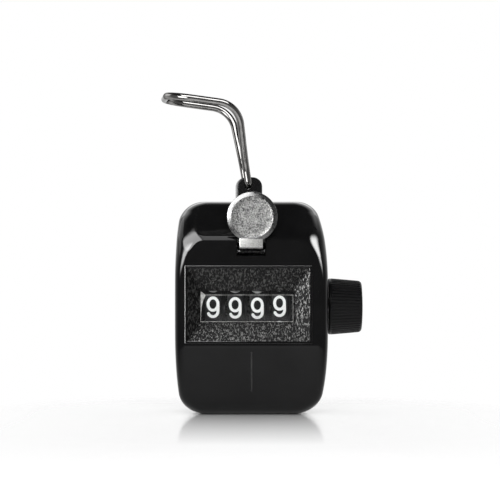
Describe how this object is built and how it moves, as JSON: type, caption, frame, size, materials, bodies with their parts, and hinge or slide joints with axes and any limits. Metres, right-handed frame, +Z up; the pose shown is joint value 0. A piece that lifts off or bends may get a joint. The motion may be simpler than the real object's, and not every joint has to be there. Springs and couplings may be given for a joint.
{
  "type": "hand tally counter",
  "caption": "Hand-held mechanical counter with a thumb lever, number wheels behind a window, a reset knob and a swivelling finger ring.",
  "frame": {"origin": "centre of the case's flat base", "axes": "+Z up along the case's height, -Y towards the window, +X towards the reset knob"},
  "size_m": [0.0595, 0.0324, 0.0936],
  "materials": {
    "black_gloss_abs": "glossy moulded black ABS",
    "textured_abs": "spark-eroded pebble texture",
    "clear_lens": "clear polished acrylic",
    "wheel_black": "satin moulded black",
    "digit_white": "printed white",
    "satin_steel": "satin nickel-plated steel",
    "spring_steel": "bright drawn steel",
    "zinc_plated_steel": "zinc plated",
    "chrome_wire": "polished chrome"
  },
  "bodies": {
    "case": {"front_cover": "black_gloss_abs", "back_cover": "black_gloss_abs", "window_bezel": "textured_abs", "window_lens": "clear_lens", "case_screw_upper_left": "zinc_plated_steel", "case_screw_upper_right": "zinc_plated_steel", "case_screw_lower_left": "zinc_plated_steel", "case_screw_lower_right": "zinc_plated_steel", "chassis_frame": "zinc_plated_steel", "tie_rod": "zinc_plated_steel", "lever_pivot_pin": "satin_steel", "wheel_spacer_left": "wheel_black", "wheel_spacer_right": "wheel_black", "detent_spring": "spring_steel", "lever_return_spring": "spring_steel", "post_washer": "spring_steel"},
    "reset_spindle": {"reset_shaft": "satin_steel", "reset_knob": "black_gloss_abs", "shaft_clip": "spring_steel"},
    "wheel_thousands": {"number_wheel_thousands": "wheel_black", "reset_pawl_thousands": "spring_steel"},
    "wheel_hundreds": {"number_wheel_hundreds": "wheel_black", "reset_pawl_hundreds": "spring_steel"},
    "wheel_tens": {"number_wheel_tens": "wheel_black", "reset_pawl_tens": "spring_steel"},
    "wheel_units": {"number_wheel_units": "wheel_black", "reset_pawl_units": "spring_steel"},
    "lever": {"thumb_lever": "satin_steel", "pawl_rod": "satin_steel", "pawl_spring": "spring_steel"},
    "pawl": {"drive_pawl": "zinc_plated_steel"},
    "post": {"ring_post": "black_gloss_abs", "post_clip": "spring_steel"},
    "ring": {"finger_ring": "chrome_wire"}
  },
  "joints": [
    {"name": "lever_press", "type": "hinge", "parent": "case", "child": "lever", "pos_m": [0, -0.0105, 0.0474], "axis": [-1, 0, 0], "range_deg": [0, 16], "stiffness_Nm_per_rad": 0.08, "springref_deg": -17.19},
    {"name": "pawl_swing", "type": "hinge", "parent": "lever", "child": "pawl", "pos_m": [0, 0.0104, 0.0472], "axis": [-1, 0, 0], "range_deg": [-19, 1]},
    {"name": "reset_turn", "type": "hinge", "parent": "case", "child": "reset_spindle", "pos_m": [0, 0, 0.03115], "axis": [1, 0, 0], "continuous": true},
    {"name": "count_thousands", "type": "hinge", "parent": "reset_spindle", "child": "wheel_thousands", "pos_m": [0, 0, 0.03115], "axis": [-1, 0, 0], "continuous": true},
    {"name": "count_hundreds", "type": "hinge", "parent": "reset_spindle", "child": "wheel_hundreds", "pos_m": [0, 0, 0.03115], "axis": [-1, 0, 0], "continuous": true},
    {"name": "count_tens", "type": "hinge", "parent": "reset_spindle", "child": "wheel_tens", "pos_m": [0, 0, 0.03115], "axis": [-1, 0, 0], "continuous": true},
    {"name": "count_units", "type": "hinge", "parent": "reset_spindle", "child": "wheel_units", "pos_m": [0, 0, 0.03115], "axis": [-1, 0, 0], "continuous": true},
    {"name": "ring_swivel", "type": "hinge", "parent": "case", "child": "post", "pos_m": [-0.00078, 0, 0.062], "axis": [0, 0, 1], "continuous": true},
    {"name": "ring_tilt", "type": "hinge", "parent": "post", "child": "ring", "pos_m": [-0.0012, -0.00004, 0.0668], "axis": [-0.0872, 0.9962, 0], "range_deg": [-50, 85]}
  ],
  "couplings": [
    {"joint": "pawl_swing", "follows": "lever_press", "ratio": -1.1144},
    {"joint": "count_thousands", "follows": "lever_press", "ratio": 2.25},
    {"joint": "count_hundreds", "follows": "lever_press", "ratio": 2.25},
    {"joint": "count_tens", "follows": "lever_press", "ratio": 2.25},
    {"joint": "count_units", "follows": "lever_press", "ratio": 2.25}
  ]
}
